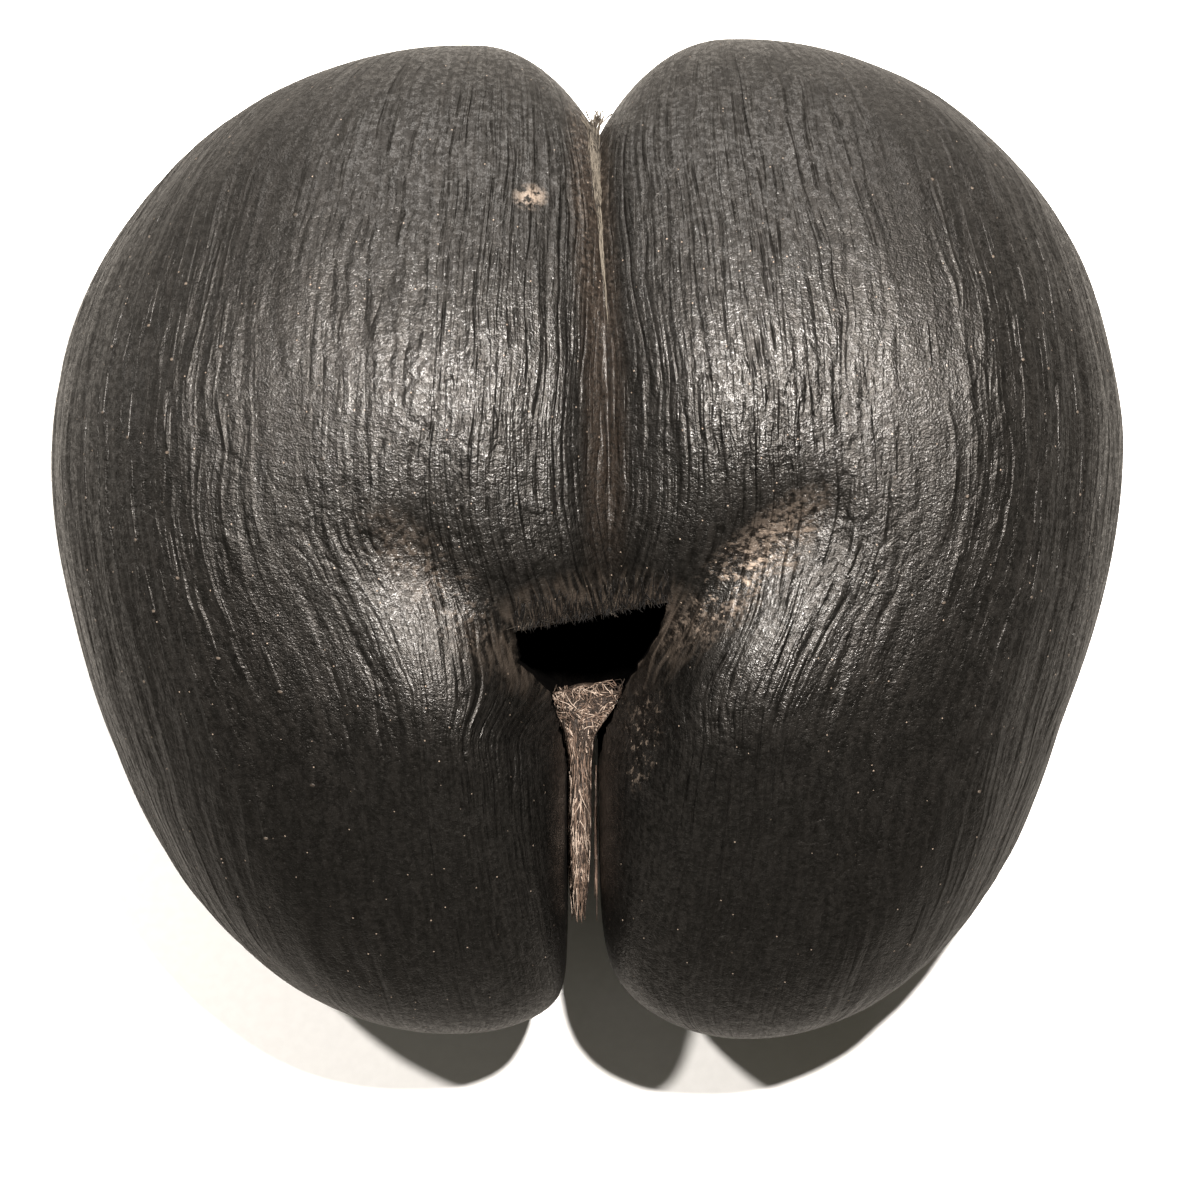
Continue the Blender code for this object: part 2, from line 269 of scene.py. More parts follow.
def soft_least(first, second, sharpness=8):
    """The smaller of two lengths, rounded over where they are alike."""
    if first <= 0 or second <= 0:
        return 0.0
    return (first**-sharpness + second**-sharpness) ** (-1 / sharpness)


def swell_height(swell, centre, off_middle, along):
    across_share = (off_middle - centre[0]) / swell.radius[0]
    along_share = (along - centre[1]) / swell.radius[1]
    return swell.height * math.exp(-across_share**2 - along_share**2)


def crease_height(lobe, off_middle, along):
    """The valley between belly and thigh, deepest at the sprout opening and running out towards the flank."""
    start_x, start_y = lobe.crease_start
    line_x, line_y = lobe.crease_end[0] - start_x, lobe.crease_end[1] - start_y
    place_x, place_y = off_middle - start_x, along - start_y
    share = (place_x * line_x + place_y * line_y) / (line_x**2 + line_y**2)
    share = min(1.0, max(0.0, share))
    distance = math.hypot(place_x - line_x * share, place_y - line_y * share)
    return -CREASE_DEPTH * (1 - share * share) * math.exp(-((distance / CREASE_RADIUS) ** 2))


def front_relief(lobe, off_middle, along):
    rise = swell_height(BELLY, BELLY_CENTRE, off_middle, along)
    rise += swell_height(THIGH, lobe.thigh, off_middle, along)
    rise += swell_height(CROTCH_HOLLOW, CROTCH_CENTRE, off_middle, along)
    return rise + crease_height(lobe, off_middle, along)


def section_radius(outward, front):
    """How far a rounded-square cross-section stands out along a direction, compared with a circle."""
    toward_out, toward_front = (1 + outward) / 2, (1 + front) / 2
    power = mix(
        mix(BACK_INNER, BACK_OUTER, toward_out),
        mix(FRONT_INNER, FRONT_OUTER, toward_out),
        toward_front,
    )
    return (abs(outward) ** power + abs(front) ** power) ** (-1 / power)


def groove_shift(across, along):
    """How far to the right a point near the groove is pushed."""
    lean = smoothstep(GROOVE_LEAN_START, GROOVE_LEAN_END, along)
    lean *= smoothstep(GROOVE_RETURN_END, GROOVE_RETURN_START, along)
    return GROOVE_SHIFT * lean / (1 + (across / GROOVE_REACH) ** 2)


def place_along(lobe, pole_share):
    half = lobe.stem_pole[1] - lobe.widest[1] if pole_share > 0 else lobe.widest[1] - lobe.tip[1]
    return lobe.widest[1] + half * pole_share


def grain_across(angle, ring, along):
    """The place across the grain of a point at an angle round its lobe: 0 is outermost, a half turn innermost."""
    sweep = SWEEP * smoothstep(SWEEP_START, SWEEP_END, along) * smoothstep(SWEEP_OUTER, SWEEP_INNER, angle)
    return (angle - math.pi / 2) * GRAIN_RADIUS * ring**POLE_SPREAD - sweep


def wave_height(lobe, outward, front, pole_share, along, settings):
    """Broad waves that follow the meridians, with shallow cords between furrows on them."""
    ring = math.sqrt(1 - pole_share**2)
    fade = smoothstep(1.0, POLE_FADE, abs(pole_share))
    fade *= smoothstep(-1.0, WALL_FADE, outward) * smoothstep(-0.97, REST_FADE, front)
    waves = Vector((outward, front, 0)) * WAVES_AROUND / math.tau * ring**POLE_SPREAD
    waves.z = pole_share * WAVE_DRIFT + lobe.side * 10
    across = grain_across(math.atan2(front, outward), ring, along)
    cords = Vector((across / CORD_SPACING, along / CORD_LENGTH, lobe.side * 20))
    furrow = max(0.0, 1 - abs(noise.noise(cords)) * 2.5) ** 2
    return fade * (settings.wave_height * noise.noise(waves) - settings.furrow_depth * furrow)


def lobe_point(lobe, direction, settings):
    """Where a point of the unit sphere lies on the lobe's skin."""
    pole_share = max(-1.0, min(1.0, direction.y))
    ring = math.sqrt(1 - pole_share**2)
    along = place_along(lobe, pole_share)
    toward_tip = (lobe.stem_pole[1] - along) / (lobe.stem_pole[1] - lobe.tip[1])

    spine = mix(lobe.stem_pole[0], lobe.tip[0], smoothstep(0, 1, toward_tip))
    spine += SPINE_BOW * 4 * toward_tip * (1 - toward_tip)
    spine_fall = smoothstep(SPINE_FALL_START, 1, toward_tip)
    spine_height = mix(SPINE_HEIGHT_STEM, SPINE_HEIGHT_TIP, spine_fall)
    if ring < 1e-6:
        return Vector((lobe.side * spine, along, spine_height))

    flank = FLANK_HOLLOW * math.exp(-(((pole_share - FLANK_PLACE) / FLANK_SPREAD) ** 2))
    outer = (lobe.widest[0] - spine) * ring * (1 - flank)
    parted = smoothstep(CROTCH_FUSED, CROTCH_PARTED, along)
    inner_limit = spine + mix(FUSED_OVERLAP, -lobe.slit_wall, parted)
    inner = soft_least(inner_limit, mix(INNER_REACH_STEM, INNER_REACH_TIP, toward_tip) * ring)
    taper = 1 - TIP_TAPER * smoothstep(TIP_TAPER_START, 1, toward_tip)
    rise = FRONT_RISE * ring * taper
    drop = BACK_DROP * ring**BACK_FLATNESS * taper

    outward, front = lobe.side * direction.x / ring, direction.z / ring
    radius = section_radius(outward, front)
    smooth_off = spine + radius * outward * (outer if outward > 0 else inner)
    calm = smoothstep(-0.010, -0.034, along) * smoothstep(CALM_END, CALM_START, smooth_off)
    waves = wave_height(lobe, outward, front, pole_share, along, settings)
    radius *= 1 + (1 - calm) * waves / rise
    off_middle = spine + radius * outward * (outer if outward > 0 else inner)
    height = spine_height + radius * front * (rise if front > 0 else drop)
    height += front_relief(lobe, off_middle, along) * smoothstep(0, RELIEF_FADE, front)
    across = lobe.side * off_middle
    return Vector((across + groove_shift(across, along), along, height))


def crowded(direction):
    """Moves a point of the unit sphere along its meridian, towards the crowded latitude."""
    latitude = math.asin(max(-1.0, min(1.0, direction.y)))
    latitude -= CROWDING * (latitude - CROWDED_LATITUDE) * math.cos(latitude) ** 2
    ring = Vector((direction.x, 0, direction.z))
    if ring.length < 1e-6:
        return direction
    return ring.normalized() * math.cos(latitude) + Vector((0, math.sin(latitude), 0))


# Mesh work


def object_from(name, form):
    mesh = bpy.data.meshes.new(name)
    form.to_mesh(mesh)
    form.free()
    mesh.shade_smooth()
    made = bpy.data.objects.new(name, mesh)
    bpy.context.scene.collection.objects.link(made)
    return made


def finish_piece(piece, node, materials):
    """Gives a piece its materials, hides the CAD node it stands for, and lets it ride on the one body."""
    for material in materials:
        piece.data.materials.append(material)
    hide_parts(node)
    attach(piece, "root")


def map_grain(form, lobe):
    """Lay the grain map: the place across the grain, and the place along Y. Points are on a unit sphere."""
    grain = form.loops.layers.uv.new(GRAIN_MAP)
    for face in form.faces:
        middle = face.calc_center_median()
        facing = math.atan2(middle.z, lobe.side * middle.x)
        for loop in face.loops:
            point = loop.vert.co
            ring = math.hypot(point.x, point.z)
            angle = math.atan2(point.z, lobe.side * point.x) if ring > 1e-6 else facing
            angle += math.tau * round((facing - angle) / math.tau)
            along = place_along(lobe, point.y)
            loop[grain].uv = (grain_across(angle, ring, along) + lobe.side, along)


def lobe_form(lobe, settings):
    form = bmesh.new()
    poles_on_y = Matrix.Rotation(-math.pi / 2, 4, "X")
    bmesh.ops.create_uvsphere(
        form,
        u_segments=settings.meridians,
        v_segments=settings.parallels,
        radius=1,
        matrix=poles_on_y,
        calc_uvs=False,
    )
    for vertex in form.verts:
        vertex.co = crowded(vertex.co)
    map_grain(form, lobe)
    for vertex in form.verts:
        vertex.co = lobe_point(lobe, vertex.co, settings)
    bmesh.ops.recalc_face_normals(form, faces=form.faces)
    bmesh.ops.triangulate(form, faces=form.faces)
    return form


def opening_form():
    """The sprout opening as a solid to cut away, with a slightly ragged rim, narrowing as it goes down."""
    form = bmesh.new()
    top = OPENING_SECTIONS[0][0]
    corners = [form.verts.new((x, y, top)) for x, y in OPENING_OUTLINE]
    edges = [form.edges.new(pair) for pair in zip(corners, corners[1:] + corners[:1])]
    bmesh.ops.subdivide_edges(form, edges=edges, cuts=OPENING_CUTS)
    for vertex in form.verts:
        place = vertex.co * OPENING_GRAIN
        ragged = Vector((noise.noise(place), noise.noise(place + OPENING_SLICE), 0))
        vertex.co += ragged * OPENING_RAGGED
    ring = form.edges[:]
    size_before = 1.0
    for height, size in OPENING_SECTIONS[1:]:
        lowered = bmesh.ops.extrude_edge_only(form, edges=ring)["geom"]
        ring = [item for item in lowered if isinstance(item, bmesh.types.BMEdge) and not item.link_faces[1:]]
        for vertex in {vertex for edge in ring for vertex in edge.verts}:
            place = OPENING_MIDDLE + (vertex.co.xy - OPENING_MIDDLE) * size / size_before
            vertex.co = (place.x, place.y, height)
        size_before = size
    bmesh.ops.holes_fill(form, edges=[edge for edge in form.edges if edge.is_boundary])
    bmesh.ops.recalc_face_normals(form, faces=form.faces)
    bmesh.ops.triangulate(form, faces=form.faces)
    return form


def floor_form():
    form = bmesh.new()
    bmesh.ops.create_cube(form, size=1, matrix=Matrix.Translation((0, 0, -0.5)))
    return form


def combine(target, operation, other):
    """Join or cut with a Boolean, apply it and remove the other object."""
    modifier = target.modifiers.new(operation, "BOOLEAN")
    modifier.operation = operation
    modifier.solver = "EXACT"
    modifier.object = other
    modifier.material_mode = "TRANSFER"
    bpy.context.view_layer.update()
    evaluated = target.evaluated_get(bpy.context.evaluated_depsgraph_get())
    mesh = bpy.data.meshes.new_from_object(evaluated)
    target.modifiers.clear()
    target.data = mesh
    bpy.data.objects.remove(other)


def fit_to_box(mesh, box):
    """Stretch a mesh by a hair so that it fills its CAD node's box and never passes it."""
    form = bmesh.new()
    form.from_mesh(mesh)
    lows = [min(vertex.co[axis] for vertex in form.verts) for axis in range(3)]
    highs = [max(vertex.co[axis] for vertex in form.verts) for axis in range(3)]
    for vertex in form.verts:
        for axis in range(3):
            share = (vertex.co[axis] - lows[axis]) / (highs[axis] - lows[axis])
            vertex.co[axis] = mix(box[0][axis], box[1][axis], share)
    form.to_mesh(mesh)
    form.free()


def tuft_section(along):
    """The slice of the husk fibre at any place along Y."""
    along = min(TUFT_SECTIONS[0].along, max(TUFT_SECTIONS[-1].along, along))
    for first, second in zip(TUFT_SECTIONS, TUFT_SECTIONS[1:]):
        if along >= second.along:
            break
    share = (along - first.along) / (second.along - first.along)
    return TuftSection(
        along,
        mix(first.left, second.left, share),
        mix(first.right, second.right, share),
        mix(first.back, second.back, share),
        mix(first.front, second.front, share),
    )


def squared(value):
    """Pushes the corners of an oval out towards those of its box."""
    return math.copysign(abs(value) ** TUFT_SQUARENESS, value)


def add_tuft_core(form):
    """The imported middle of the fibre: a sphere with its poles on Y, moved on to the sections."""
    poles_on_y = Matrix.Rotation(-math.pi / 2, 4, "X")
    made = bmesh.ops.create_uvsphere(form, u_segments=48, v_segments=90, radius=1, matrix=poles_on_y)
    first, last = TUFT_SECTIONS[0].along, TUFT_SECTIONS[-1].along
    for vertex in made["verts"]:
        direction = vertex.co.copy()
        ring = math.sqrt(max(0.0, 1 - direction.y**2))
        section = tuft_section(mix(last, first, (direction.y + 1) / 2))
        middle = Vector(((section.left + section.right) / 2, section.along, (section.back + section.front) / 2))
        if ring > 1e-6:
            fullness = min(1.0, ring * 2.2) * 0.93
            rough = 1 + 0.10 * noise.noise(Vector((direction.x * 4, section.along * 260, direction.z * 4)))
            middle.x += (section.right - middle.x) * squared(direction.x / ring) * fullness * rough
            middle.z += (section.front - middle.z) * squared(direction.z / ring) * fullness * rough
        vertex.co = middle
    return made["verts"]


def strand_template():
    """A straight six-sided needle from z 0 to 1, cut into steps, to be bent along each strand's line."""
    form = bmesh.new()
    bmesh.ops.create_cone(
        form,
        cap_ends=True,
        segments=STRAND_SIDES,
        radius1=1,
        radius2=1,
        depth=1,
        matrix=Matrix.Translation((0, 0, 0.5)),
    )
    lengthwise = [edge for edge in form.edges if abs(edge.verts[0].co.z - edge.verts[1].co.z) > 0.5]
    bmesh.ops.subdivide_edges(form, edges=lengthwise, cuts=STRAND_STEPS - 1)
    mesh = bpy.data.meshes.new("strand_template")
    form.to_mesh(mesh)
    form.free()
    return mesh


def strand_line(rng, group):
    """Centre line of one strand, from its root in the core to its tip. It rises out and lies down again."""
    along = rng.uniform(*group.roots)
    section = tuft_section(along)
    across = rng.uniform(*(group.across or (section.left + 0.0003, section.right - 0.0003)))
    turn = rng.uniform(-group.spread, group.spread)
    end = TUFT_END + TUFT_END_RAGGED * rng.random() ** 2
    step = min(rng.uniform(*group.length), max(STRAND_SHORTEST, along - end)) / STRAND_STEPS
    heading = Vector((math.sin(turn), -math.cos(turn), group.lift))
    sunk = rng.uniform(0.0000, 0.0010)
    ragged = rng.uniform(-1, 0) * TUFT_TOP_RAGGED
    point = Vector((across, along, surface_height(section, across) - sunk))
    line = [point]
    for _ in range(STRAND_STEPS):
        point = point + heading.normalized() * step
        share = (point.x - TUFT_SECTIONS[0].left) / (TUFT_SECTIONS[0].right - TUFT_SECTIONS[0].left)
        top = mix(TUFT_TOP_LEFT, TUFT_TOP_RIGHT, min(1.0, max(0.0, share))) + ragged
        point.y = min(top, point.y)
        section = tuft_section(point.y)
        left, right = group.across or (section.left - 0.0001, section.right + 0.0002)
        point.x = min(right, max(left, point.x))
        highest = surface_height(section, point.x) + 0.0012 * (0.4 + group.lift)
        point.z = min(point.z, highest)
        line.append(point)
        heading += Vector((rng.uniform(-1, 1), rng.uniform(-0.5, 0.5), -0.9 * group.lift)) * group.wander / 2
    return line


def surface_height(section, across):
    """How high the core's skin is at a place across one of its sections."""
    middle = (section.left + section.right) / 2
    share = min(0.98, abs(across - middle) / max(1e-5, (section.right - section.left) / 2))
    half = (section.front - section.back) / 2
    return (section.front + section.back) / 2 + half * (1 - share ** (2 / TUFT_SQUARENESS)) ** (TUFT_SQUARENESS / 2)


def add_strand(form, template, line, radius, shade, shades):
    """Bend a copy of the template along a line."""
    already = len(form.verts)
    form.from_mesh(template)
    form.verts.ensure_lookup_table()
    for vertex in form.verts[already:]:
        place = vertex.co.z * (len(line) - 1)
        step = min(len(line) - 2, int(place))
        centre = line[step].lerp(line[step + 1], place - step)
        heading = line[step + 1] - line[step]
        if heading.length < 1e-7:
            heading = Vector((0, -1, 0))
        turn = heading.to_track_quat("Z", "Y").to_matrix()
        width = mix(radius[0], radius[1], vertex.co.z)
        vertex.co = centre + turn @ Vector((vertex.co.x, vertex.co.y, 0)) * width
        vertex[shades] = shade


# Materials


class Graph:
    """Short ways to add nodes to a material or a group, and to feed their sockets."""

    def __init__(self, tree):
        self.tree = tree

    def feed(self, socket, value):
        if isinstance(value, bpy.types.NodeSocket):
            self.tree.links.new(value, socket)
        else:
            socket.default_value = value

    def node(self, kind, sockets=None, **settings):
        made = self.tree.nodes.new(kind)
        for name, value in settings.items():
            setattr(made, name, value)
        for name, value in (sockets or {}).items():
            self.feed(made.inputs[name], value)
        return made

    def math(self, operation, *values, clamp=False):
        made = self.node("ShaderNodeMath", operation=operation, use_clamp=clamp)
        for socket, value in zip(made.inputs, values):
            self.feed(socket, value)
        return made.outputs[0]

    def times(self, *values):
        result = values[0]
        for value in values[1:]:
            result = self.math("MULTIPLY", result, value)
        return result

    def add(self, *values):
        result = values[0]
        for value in values[1:]:
            result = self.math("ADD", result, value)
        return result

    def ramp(self, value, start, end, low=0.0, high=1.0):
        """Smoothly from low to high as the value goes from start to end."""
        made = self.node("ShaderNodeMapRange", interpolation_type="SMOOTHSTEP")
        falling = start > end
        self.feed(made.inputs["Value"], value)
        made.inputs["From Min"].default_value = end if falling else start
        made.inputs["From Max"].default_value = start if falling else end
        made.inputs["To Min"].default_value = high if falling else low
        made.inputs["To Max"].default_value = low if falling else high
        return made.outputs["Result"]

    def noise(self, vector, scale, detail=2.0, roughness=0.5, dimensions="3D"):
        made = self.node(
            "ShaderNodeTexNoise",
            {"Vector": vector, "Scale": scale, "Detail": detail, "Roughness": roughness},
            noise_dimensions=dimensions,
        )
        return made.outputs["Fac"]

    def blend(self, share, first, second):
        made = self.node("ShaderNodeMix", data_type="RGBA", clamp_factor=True)
        self.feed(made.inputs["Factor"], share)
        self.feed(made.inputs["A"], first)
        self.feed(made.inputs["B"], second)
        return made.outputs["Result"]

    def bump(self, height, distance, normal=None):
        made = self.node("ShaderNodeBump", {"Height": height, "Distance": distance, "Strength": 1.0})
        if normal is not None:
            self.feed(made.inputs["Normal"], normal)
        return made.outputs["Normal"]

    def split(self, vector):
        made = self.node("ShaderNodeSeparateXYZ", {"Vector": vector})
        return made.outputs["X"], made.outputs["Y"], made.outputs["Z"]

    def join(self, x, y, z=0.0):
        made = self.node("ShaderNodeCombineXYZ", {"X": x, "Y": y, "Z": z})
        return made.outputs["Vector"]


def new_group(name, inputs, outputs):
    """An empty node group with number inputs given as name to default, and its outputs."""
    group = bpy.data.node_groups.new(name, "ShaderNodeTree")
    for label, value in inputs.items():
        kind = "NodeSocketVector" if value is None else "NodeSocketFloat"
        socket = group.interface.new_socket(label, in_out="INPUT", socket_type=kind)
        if value is not None:
            socket.default_value = value
    for label in outputs:
        group.interface.new_socket(label, in_out="OUTPUT", socket_type="NodeSocketFloat")
    graph = Graph(group)
    return group, graph, graph.node("NodeGroupInput").outputs, graph.node("NodeGroupOutput").inputs


def furrow_group():
    """Thin wandering furrows that run up a grain map, with a width and a length between them."""
    group, graph, given, out = new_group(
        "furrows", {"Grain": None, "Spacing": 0.005, "Length": 0.08, "Wander": 0.002, "Sharpness": 7.0}, ["Furrow"]
    )
    across, along, _ = graph.split(given["Grain"])
    sway = graph.noise(given["Grain"], 28.0, detail=2.0)
    across = graph.add(across, graph.times(graph.add(sway, -0.5), given["Wander"]))
    place = graph.join(graph.math("DIVIDE", across, given["Spacing"]), graph.math("DIVIDE", along, given["Length"]))
    value = graph.noise(place, 1.0, detail=1.5, roughness=0.45, dimensions="2D")
    off_line = graph.times(graph.math("ABSOLUTE", graph.add(value, -0.5)), given["Sharpness"])
    graph.feed(out["Furrow"], graph.math("SUBTRACT", 1.0, off_line, clamp=True))
    return group


def patch_group():
    """A soft-edged oval on the surface, turned in the XY plane."""
    inputs = {"Place": None, "Across": 0.0, "Along": 0.0, "Long": 0.01, "Short": 0.01, "Turn": 0.0, "Softness": 0.5}
    group, graph, given, out = new_group("patch", inputs, ["Share"])
    x, y, _ = graph.split(given["Place"])
    x = graph.math("SUBTRACT", x, given["Across"])
    y = graph.math("SUBTRACT", y, given["Along"])
    cosine, sine = graph.math("COSINE", given["Turn"]), graph.math("SINE", given["Turn"])
    long = graph.add(graph.times(x, cosine), graph.times(y, sine))
    short = graph.math("SUBTRACT", graph.times(y, cosine), graph.times(x, sine))
    long = graph.math("DIVIDE", long, given["Long"])
    short = graph.math("DIVIDE", short, given["Short"])
    distance = graph.math("SQRT", graph.add(graph.times(long, long), graph.times(short, short)))
    edge = graph.math("SUBTRACT", 1.0, given["Softness"])
    share = graph.math("DIVIDE", graph.math("SUBTRACT", distance, edge), given["Softness"], clamp=True)
    graph.feed(out["Share"], graph.math("SUBTRACT", 1.0, share, clamp=True))
    return group


def streak_group():
    """Short raised runs along the grain, a few to a cell."""
    inputs = {"Grain": None, "Width": 0.016, "Height": 0.034, "Share": 0.3}
    group, graph, given, out = new_group("streaks", inputs, ["Streak", "Bead"])
    across, along, _ = graph.split(given["Grain"])
    place = graph.join(graph.math("DIVIDE", across, given["Width"]), graph.math("DIVIDE", along, given["Height"]))
    cells = graph.node("ShaderNodeTexVoronoi", {"Vector": place, "Scale": 1.0}, voronoi_dimensions="2D")
    x, y, _ = graph.split(place)
    cell_x, cell_y, _ = graph.split(cells.outputs["Position"])
    off_x = graph.times(graph.math("SUBTRACT", x, cell_x), given["Width"])
    off_y = graph.times(graph.math("SUBTRACT", y, cell_y), given["Height"])
    chance, _, _ = graph.split(cells.outputs["Color"])
    chosen = graph.math("LESS_THAN", chance, given["Share"])
    thin = graph.ramp(graph.math("ABSOLUTE", off_x), 0.0006, 0.0002)
    streak = graph.times(chosen, thin, graph.ramp(graph.math("ABSOLUTE", off_y), 0.0075, 0.0035))
    end = graph.add(graph.times(off_x, off_x), graph.math("POWER", graph.add(off_y, 0.0060), 2.0))
    graph.feed(out["Streak"], streak)
    graph.feed(out["Bead"], graph.times(chosen, graph.ramp(end, 0.00000028, 0.00000006)))
    return group


def speck_group():
    """Tiny scattered dots: a share of the cells of a fine foam each holds one."""
    inputs = {"Place": None, "Scale": 300.0, "Size": 0.1, "Share": 0.3}
    group, graph, given, out = new_group("painted_glints", inputs, ["Speck"])
    cells = graph.node("ShaderNodeTexVoronoi", {"Vector": given["Place"], "Scale": given["Scale"]})
    chance, _, _ = graph.split(cells.outputs["Color"])
    near = graph.math("LESS_THAN", cells.outputs["Distance"], given["Size"])
    graph.feed(out["Speck"], graph.times(near, graph.math("LESS_THAN", chance, given["Share"])))
    return group


def use(graph, group, **sockets):
    made = graph.node("ShaderNodeGroup", node_tree=group)
    for name, value in sockets.items():
        graph.feed(made.inputs[name], value)
    return made.outputs


def new_material(name):
    material = bpy.data.materials.new(name)
    material.use_nodes = True
    graph = Graph(material.node_tree)
    return material, graph, material.node_tree.nodes["Principled BSDF"]


def shell_material(settings):
    """Satin charcoal shell: ridges along the grain, leathery grain, brown and cream where husk clings; painted shade in
    the furrows and towards the tips, and painted glints as pale dots and streak ends.
    """
    material, graph, shader = new_material("charcoal_shell")
    place = graph.node("ShaderNodeTexCoord").outputs["Object"]
    grain = graph.node("ShaderNodeUVMap", uv_map=GRAIN_MAP).outputs["UV"]
    x, y, z = graph.split(place)
    furrows, patches, streaks = furrow_group(), patch_group(), streak_group()

    def patch(across, along, long, short, turn=0.0, softness=0.6):
        made = use(
            graph, patches, Place=place, Across=across, Along=along, Long=long, Short=short,
            Turn=math.radians(turn), Softness=softness,
        )
        return made["Share"]

    def most(*values):
        result = values[0]
        for value in values[1:]:
            result = graph.math("MAXIMUM", result, value)
        return result

    def furrow(spacing, length, wander, sharpness):
        made = use(
            graph, furrows, Grain=grain, Spacing=spacing, Length=length, Wander=wander, Sharpness=sharpness
        )
        return made["Furrow"]

    lean = graph.times(graph.ramp(y, GROOVE_LEAN_START, GROOVE_LEAN_END), GROOVE_SHIFT)
    off_middle = graph.math("ABSOLUTE", graph.math("SUBTRACT", x, lean))
    calm = graph.times(graph.ramp(y, -0.010, -0.034), graph.ramp(off_middle, 0.028, 0.010))
    lively = graph.math("SUBTRACT", 1.0, calm)
    outer = graph.ramp(off_middle, 0.062, 0.105)
    flank = graph.times(graph.ramp(off_middle, 0.045, 0.085), graph.ramp(off_middle, 0.138, 0.112))

    breaks = graph.ramp(graph.noise(place, 130.0, detail=2.0), 0.40, 0.58, 0.30, 1.0)
    ridges = graph.times(furrow(0.0056, 0.080, 0.006, 10.0), lively, breaks)
    cords = graph.times(furrow(0.0044, 0.070, 0.006, 3.5), lively)
    fine_ridges = graph.times(furrow(0.0024, 0.030, 0.004, 8.0), lively)
    wormy = furrow(0.0058, 0.013, 0.010, 10.0)
    threads = furrow(0.0030, 0.016, 0.002, 9.0)
    raised = use(graph, streaks, Grain=grain, Width=0.010, Height=0.024, Share=0.50)
    leather = graph.noise(place, 900.0, detail=3.0, roughness=0.75)
    grit = graph.noise(place, 620.0, detail=2.0, roughness=0.6)
    pores = graph.noise(place, 2000.0, detail=1.0, roughness=0.5)
    streaked = graph.node(
        "ShaderNodeMapping", {"Vector": place, "Rotation": (0, 0, math.radians(-48)), "Scale": (0.38, 1.0, 1.0)}
    ).outputs["Vector"]
    streaked = graph.noise(streaked, 430.0, detail=4.0, roughness=0.7)
    # Scattered pale dots, painted into the colour as glints
    painted_glints = use(graph, speck_group(), Place=place, Scale=330.0, Size=0.07, Share=0.40)["Speck"]
    blotch = graph.noise(place, 55.0, detail=4.0, roughness=0.6)
    flake = graph.noise(place, 900.0, detail=3.0, roughness=0.7)

    # Where wrinkles gather: on the belly, over the creases and on the thighs
    wrinkled = most(
        patch(-0.036, 0.036, 0.030, 0.030),
        patch(0.044, 0.034, 0.034, 0.030),
        patch(-0.065, 0.005, 0.030, 0.022),
        patch(0.066, 0.000, 0.030, 0.026),
    )

    # Where pale husk clings: the creases, the sprout opening's rim, one spot and the seam of the groove
    right_crease = patch(0.042, -0.009, 0.033, 0.010, turn=46, softness=0.95)
    left_crease = patch(-0.038, -0.014, 0.036, 0.011, turn=-46, softness=0.95)
    rim = patch(0.002, -0.026, 0.034, 0.019, turn=8, softness=0.8)
    left_thigh = patch(-0.034, -0.030, 0.034, 0.020, turn=-60, softness=0.9)
    inner_thigh = patch(0.0150, -0.053, 0.018, 0.006, turn=78, softness=0.98)
    spot = patch(-0.0146, 0.0905, 0.0052, 0.0042, softness=0.95)
    groove = graph.times(graph.ramp(off_middle, 0.0075, 0.0020), graph.ramp(y, -0.02, 0.02))

    flecks = graph.ramp(graph.add(grit, graph.times(blotch, 0.45)), 0.74, 0.86)
    pale_streaks = graph.ramp(graph.add(streaked, graph.times(blotch, 0.25)), 0.68, 0.80)
    # Pale husk in the patches below; the scattered dots and the bright streak ends in it are painted glints
    cream = most(
        graph.times(right_crease, graph.math("MAXIMUM", pale_streaks, graph.times(flecks, 0.4)), 0.9),
        graph.times(left_crease, flecks, 0.15),
        graph.times(inner_thigh, pale_streaks, 0.6),
        graph.times(spot, graph.ramp(grit, 0.38, 0.58), 0.75),
        graph.times(groove, flecks, graph.ramp(y, 0.02, 0.11), 0.12),
        graph.times(painted_glints, 0.8),
        # Painted highlight: the bright lower ends of the raised streaks
        graph.times(raised["Bead"], outer, 0.35),
        graph.times(rim, threads, 0.30),
    )
    brown = most(graph.times(rim, 0.7), graph.times(right_crease, 0.5), graph.times(left_crease, 0.35))
    brown = most(graph.times(brown, graph.ramp(blotch, 0.38, 0.62)), graph.times(groove, 0.6))

    across, along, _ = graph.split(grain)
    streaky = graph.noise(graph.join(graph.times(across, 620.0), graph.times(along, 130.0)), 1.0, dimensions="2D")
    dust_and_shade = graph.times(graph.add(grit, streaky, graph.times(blotch, 0.5)), 0.4)
    # Less of the grey worn tone towards the tips: painted shade that makes the lower lobes darker
    dust_and_shade = graph.times(graph.ramp(dust_and_shade, 0.42, 0.60), graph.ramp(y, -0.02, -0.11, 1.0, 0.55))
    # Furrows and cords take less of the grey worn tone: painted shade in the furrows
    sunk = graph.times(most(ridges, graph.times(cords, 0.6)), 0.75)
    dust_and_shade = graph.times(dust_and_shade, graph.math("SUBTRACT", 1.0, sunk))
    colour = graph.blend(dust_and_shade, (*settings.shell_colour, 1), (*settings.worn_colour, 1))
    colour = graph.blend(graph.times(brown, graph.ramp(flake, 0.3, 0.6)), colour, (*settings.brown_colour, 1))
    colour = graph.blend(cream, colour, (*settings.cream_colour, 1))
    graph.feed(shader.inputs["Base Color"], colour)
    shader.inputs["Specular IOR Level"].default_value = 0.25
    shader.inputs["Specular Tint"].default_value = (1.0, 0.93, 0.86, 1)
    roughness = graph.ramp(leather, 0.35, 0.65, 0.34, 0.50)
    roughness = graph.add(roughness, graph.times(cream, 0.3), graph.times(brown, 0.15))
    graph.feed(shader.inputs["Roughness"], roughness)

